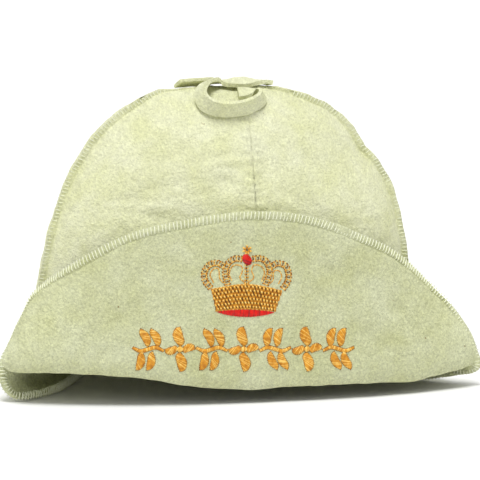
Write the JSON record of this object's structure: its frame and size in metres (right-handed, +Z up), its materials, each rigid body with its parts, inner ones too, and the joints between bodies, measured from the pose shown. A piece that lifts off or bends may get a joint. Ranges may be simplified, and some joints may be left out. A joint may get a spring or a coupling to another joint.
{
  "type": "felt sauna hat",
  "caption": "Felt sauna hat with a rounded gored crown, a wide brim turned up high at the front and a felt hanging loop on top.",
  "frame": {"origin": "middle of the hat's footprint, on the surface that the brim rests on", "axes": "+X to the hat's right-hand side in the picture, +Y towards the back, +Z up; the turned-up flap faces -Y"},
  "size_m": [0.351, 0.178, 0.224],
  "materials": {
    "felt": "cream wool felt, matt and slightly hairy, with small brown plant specks"
  },
  "bodies": {
    "root": {"gore_front_left": "felt", "gore_front_right": "felt", "gore_back_left": "felt", "gore_back_right": "felt", "brim": "felt", "hanging_loop": "felt", "loop_tail": "felt"}
  },
  "joints": []
}
